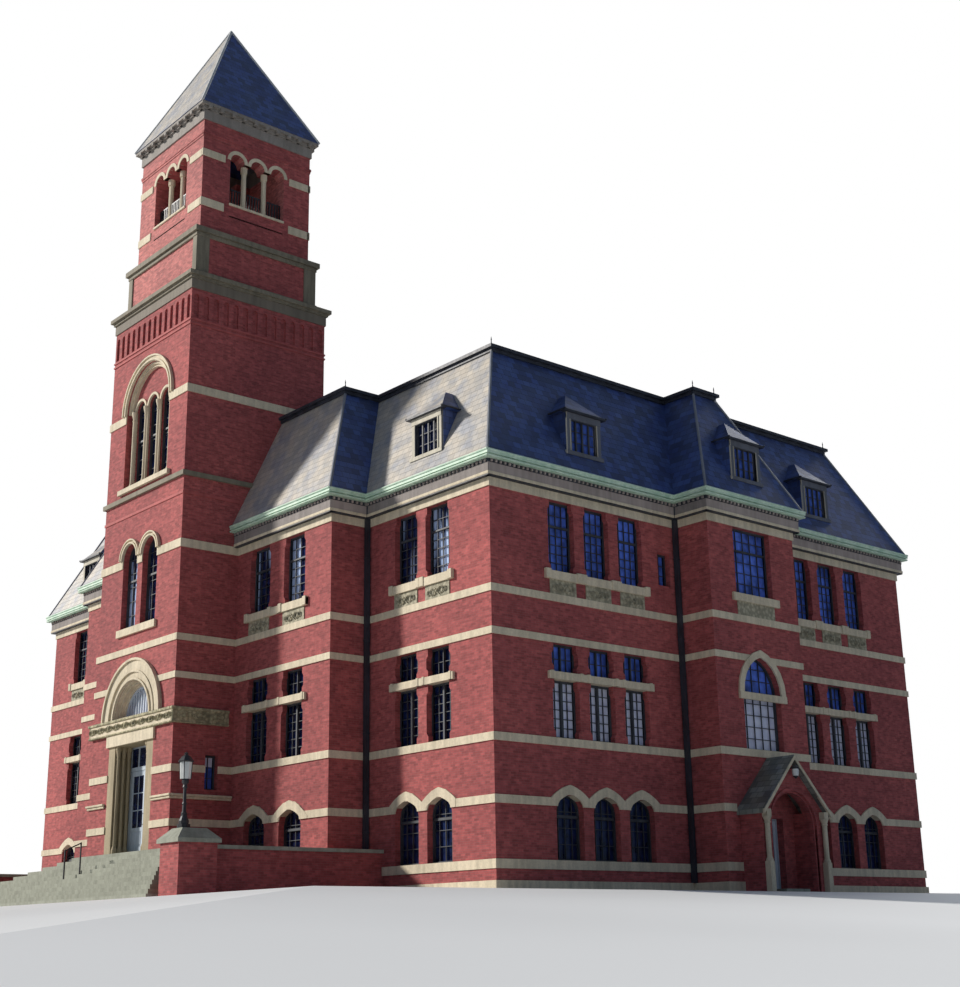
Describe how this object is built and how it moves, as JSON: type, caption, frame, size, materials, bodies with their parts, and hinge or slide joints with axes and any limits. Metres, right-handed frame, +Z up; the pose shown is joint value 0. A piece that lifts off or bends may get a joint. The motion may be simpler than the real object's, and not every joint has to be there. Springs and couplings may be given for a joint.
{
  "type": "town hall building",
  "caption": "Brick town hall with a square belfry tower over the front door, wide entrance steps, stone courses, a slate mansard roof and side bays.",
  "frame": {"origin": "on the ground, on the tower's centre line, in the plane of the main front, under the tower's ground floor slab", "axes": "+X along the front to the right as seen from the street, +Y to the back, +Z up; the front faces -Y"},
  "size_m": [37.405, 33.568, 38.743],
  "materials": {
    "brick": "matte",
    "stone": "matte",
    "slate": "matte",
    "copper": "satin",
    "dark_metal": "satin",
    "roofing": "matte",
    "glass": "gloss",
    "iron": "satin",
    "door_paint": "satin",
    "floor": "matte"
  },
  "bodies": {
    "building": {"apron_panels": "stone", "bay_arches": "stone", "belfry_arches": "brick", "belfry_columns": "stone", "belfry_parapets": "brick", "belfry_piers": "brick", "belfry_railings": "iron", "belt_courses": "stone", "cheek_copings": "stone", "cheek_walls": "brick", "door_thresholds": "stone", "dormer_bodies": "stone", "dormer_roofs": "slate", "eaves_cornice": "stone", "eaves_gutter": "copper", "end_walls": "brick", "floors": "floor", "front_door_frame": "door_paint", "front_middle_walls": "brick", "front_steps": "stone", "hood_courses": "stone", "ironwork": "iron", "left_bay_wall": "brick", "porch_columns": "stone", "porch_gable": "brick", "porch_roof": "slate", "porch_walls": "brick", "portal_arch": "stone", "portal_jambs": "stone", "rain_pipes": "dark_metal", "rear_middle_wall": "brick", "return_walls": "brick", "right_bay_base": "brick", "right_bay_wall": "brick", "roof_curb": "dark_metal", "roof_deck": "roofing", "roof_front_and_rear": "slate", "roof_returns": "slate", "roof_sides": "slate", "side_door_frame": "door_paint", "side_steps": "stone", "side_walls": "brick", "spire": "slate", "tower_arches": "stone", "tower_cornices": "stone", "tower_courses": "stone", "tower_eaves": "stone", "tower_floors": "floor", "tower_front_wall": "brick", "tower_piers": "brick", "tower_rear_wall": "brick", "tower_side_walls": "brick", "tower_stage": "brick", "window_glass": "glass", "window_sills": "stone"},
    "front_door_left_leaf": {"front_door_left": "door_paint"},
    "front_door_right_leaf": {"front_door_right": "door_paint"},
    "side_door_leaf": {"side_door": "door_paint"}
  },
  "joints": [
    {"name": "front_door_left_hinge", "type": "hinge", "parent": "building", "child": "front_door_left_leaf", "pos_m": [-1.157, -3.402, 3.5], "axis": [0, 0, 1], "range_deg": [0, 90]},
    {"name": "front_door_right_hinge", "type": "hinge", "parent": "building", "child": "front_door_right_leaf", "pos_m": [1.157, -3.402, 3.5], "axis": [0, 0, -1], "range_deg": [0, 90]},
    {"name": "side_door_hinge", "type": "hinge", "parent": "building", "child": "side_door_leaf", "pos_m": [17.545, 12.138, 1.35], "axis": [0, 0, -1], "range_deg": [0, 90]}
  ]
}
